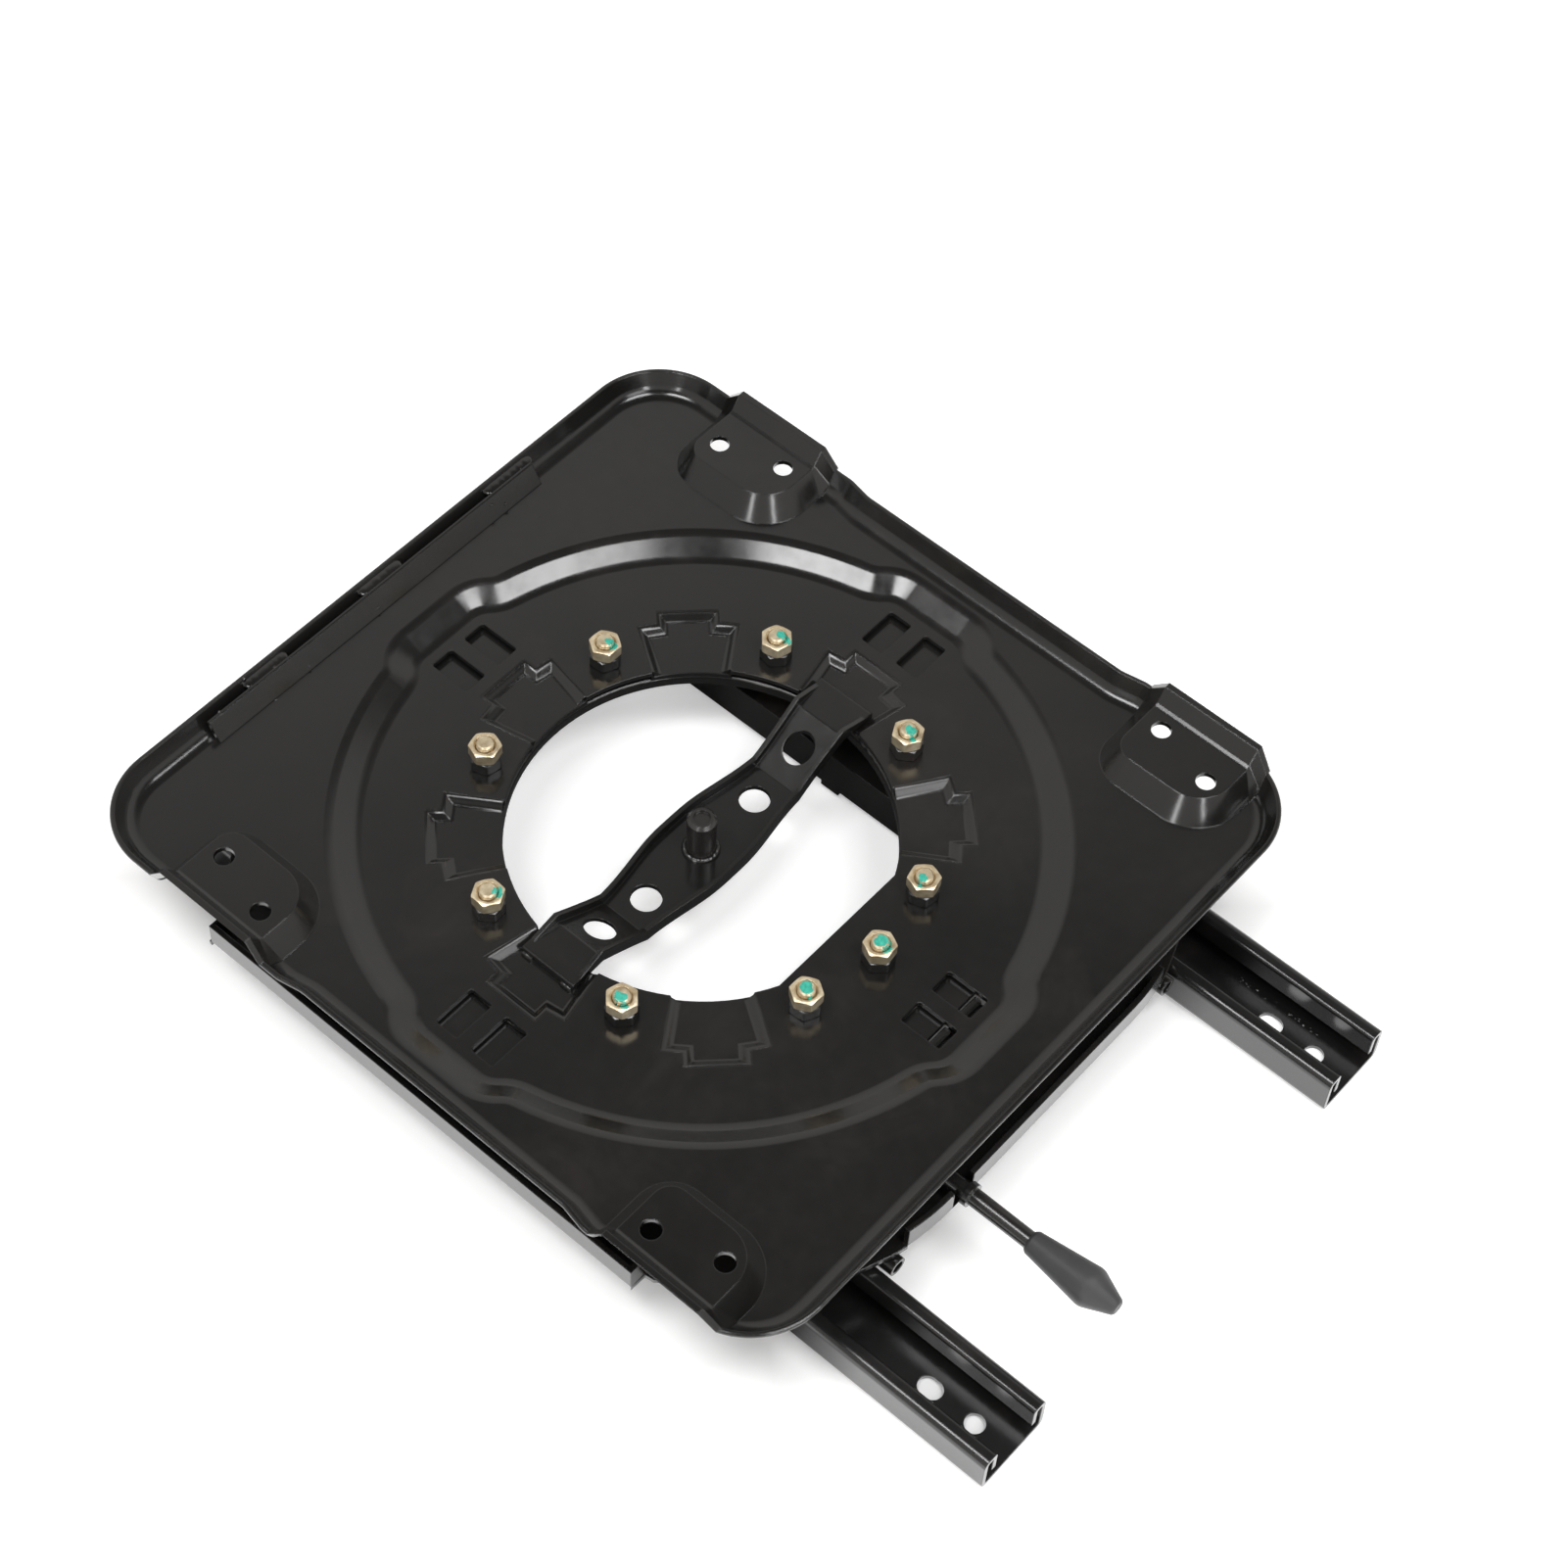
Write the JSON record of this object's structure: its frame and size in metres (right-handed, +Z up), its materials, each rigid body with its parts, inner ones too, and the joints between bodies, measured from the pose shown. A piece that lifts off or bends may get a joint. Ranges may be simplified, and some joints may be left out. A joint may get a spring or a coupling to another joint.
{
  "type": "swivel seat base",
  "caption": "Swivel seat base: square pressed top plate with sunk recess and seat pads on a turning ring, lockable by a side lever, sliding fore and aft in two floor rails.",
  "frame": {"origin": "centre of the floor rails' bolt pattern, at the floor the rails stand on; the swivel axis stands at X = -49.5 mm", "axes": "+Z up along the swivel axis, +X the way the carriage slides and the lock lever sticks out, +Y to the left rail"},
  "size_m": [0.4623, 0.364, 0.0755],
  "materials": {
    "black_paint": "satin black paint",
    "rail_paint": "satin black paint",
    "runner_steel": "plain steel",
    "black_hardware": "black oxide",
    "yellow_zinc": "yellow zinc plating on steel",
    "stud_steel": "dark steel, worn bright on top",
    "nylon": "natural nylon",
    "grip_rubber": "matt grey grip"
  },
  "bodies": {
    "rails": {"floor_rail_left": "rail_paint", "floor_rail_right": "rail_paint"},
    "carriage": {"slide_runner_left": "runner_steel", "slide_runner_right": "runner_steel", "slide_shoes": "nylon", "runner_bolts": "black_hardware", "runner_nuts": "black_hardware", "latch_bracket_left": "black_paint", "latch_bracket_right": "black_paint", "lower_plate": "black_paint", "lock_bracket": "black_paint", "lock_pin": "runner_steel", "lock_spring": "runner_steel"},
    "turntable": {"top_plate": "black_paint", "edge_bar": "black_paint", "glide_ring_upper": "nylon", "glide_ring_lower": "nylon", "clamp_ring": "black_paint", "clamp_bolts": "yellow_zinc", "base_nuts": "black_hardware", "lock_nuts": "yellow_zinc", "centre_strap": "black_paint", "centre_stud": "stud_steel"},
    "lock": {"lock_plate": "black_paint", "lock_lever": "black_paint", "lever_grip": "grip_rubber"},
    "latch_left": {"latch_left": "black_paint"},
    "latch_right": {"latch_right": "black_paint"}
  },
  "joints": [
    {"name": "slide", "type": "slide", "parent": "rails", "child": "carriage", "axis": [1, 0, 0], "range_m": [0, 0.08]},
    {"name": "swivel", "type": "hinge", "parent": "carriage", "child": "turntable", "pos_m": [-0.0495, 0, 0.046], "axis": [0, 0, 1], "range_deg": [-180, 180]},
    {"name": "lock_lever", "type": "hinge", "parent": "carriage", "child": "lock", "pos_m": [0.1225, 0, 0.0346], "axis": [0, 1, 0], "range_deg": [0, 7.4]},
    {"name": "latch_swing_left", "type": "hinge", "parent": "carriage", "child": "latch_left", "pos_m": [-0.0495, 0.09, 0.0185], "axis": [1, 0, 0], "range_deg": [0, 16]},
    {"name": "latch_swing_right", "type": "hinge", "parent": "carriage", "child": "latch_right", "pos_m": [-0.0495, -0.09, 0.0185], "axis": [-1, 0, 0], "range_deg": [0, 16]}
  ]
}
